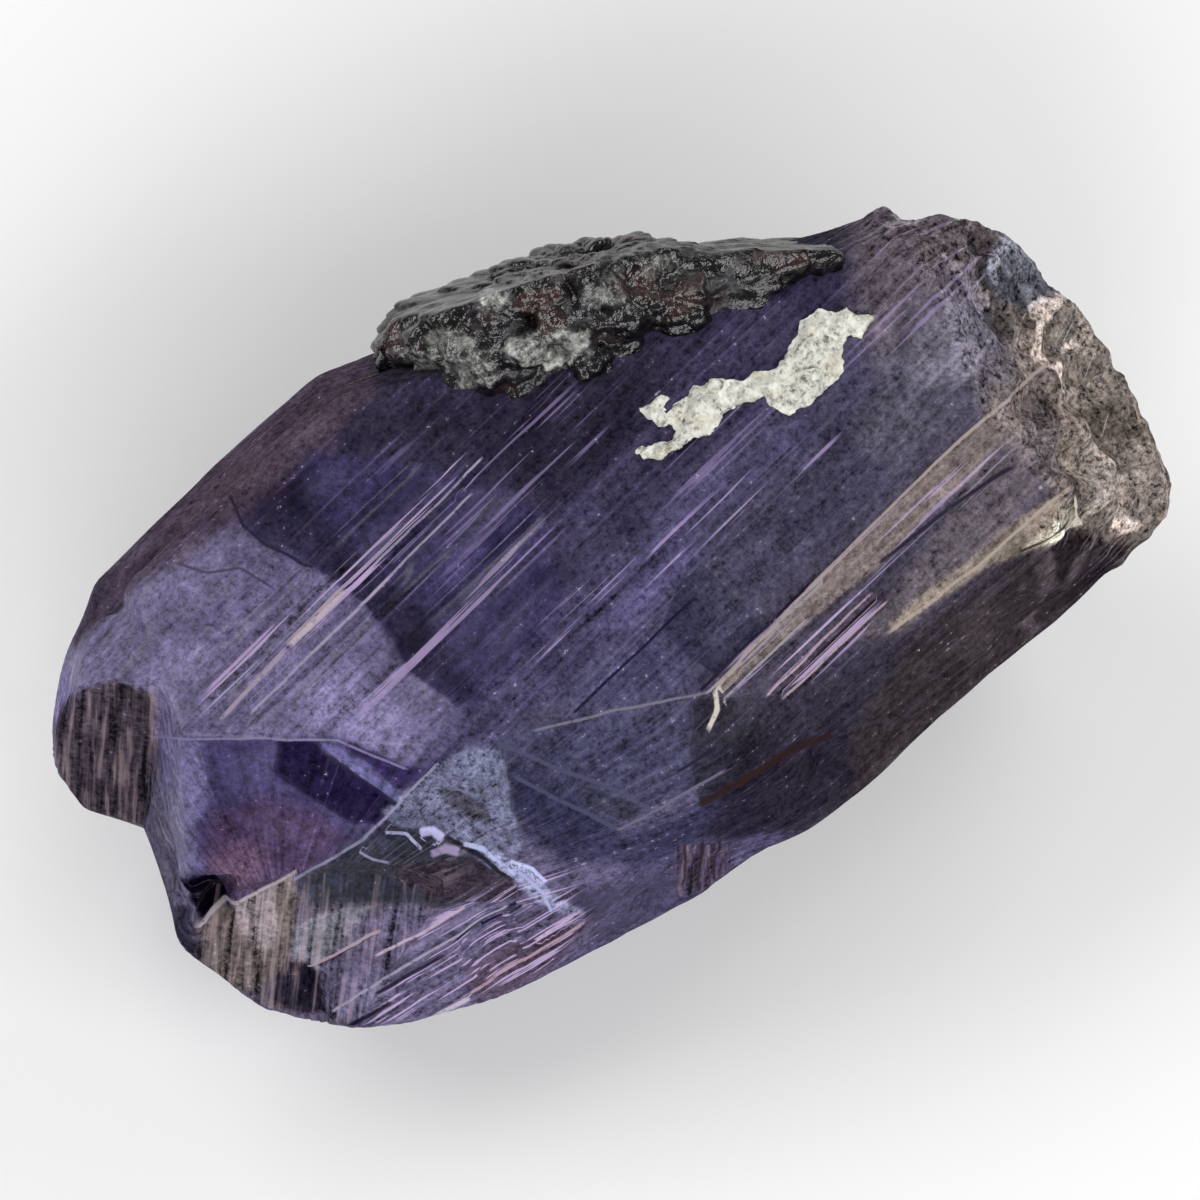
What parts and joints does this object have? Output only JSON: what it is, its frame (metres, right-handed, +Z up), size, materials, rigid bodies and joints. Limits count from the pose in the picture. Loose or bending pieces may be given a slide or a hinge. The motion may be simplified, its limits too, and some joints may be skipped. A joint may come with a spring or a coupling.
{
  "type": "rough tanzanite",
  "caption": "Rough blue-violet tanzanite crystal, a broken prism with lengthwise striations, dark graphite matrix along one edge and a small white calcite crust.",
  "frame": {"origin": "under the middle of the specimen's bounding box, on the plane it rests on", "axes": "+X runs along the prism and its striations towards the broken brown end, +Y points to the side that carries the dark matrix, +Z is up"},
  "size_m": [0.0154, 0.0104, 0.0071],
  "materials": {
    "tanzanite": "blue-violet crystal, see-through below a frosted and striated skin, brown at the broken end",
    "matrix": "dark granular graphite-bearing rock with small glints and white calcite grains",
    "calcite": "matt white crust"
  },
  "bodies": {
    "root": {"tanzanite_crystal": "tanzanite", "graphite_matrix": "matrix", "calcite_patch": "calcite"}
  },
  "joints": []
}
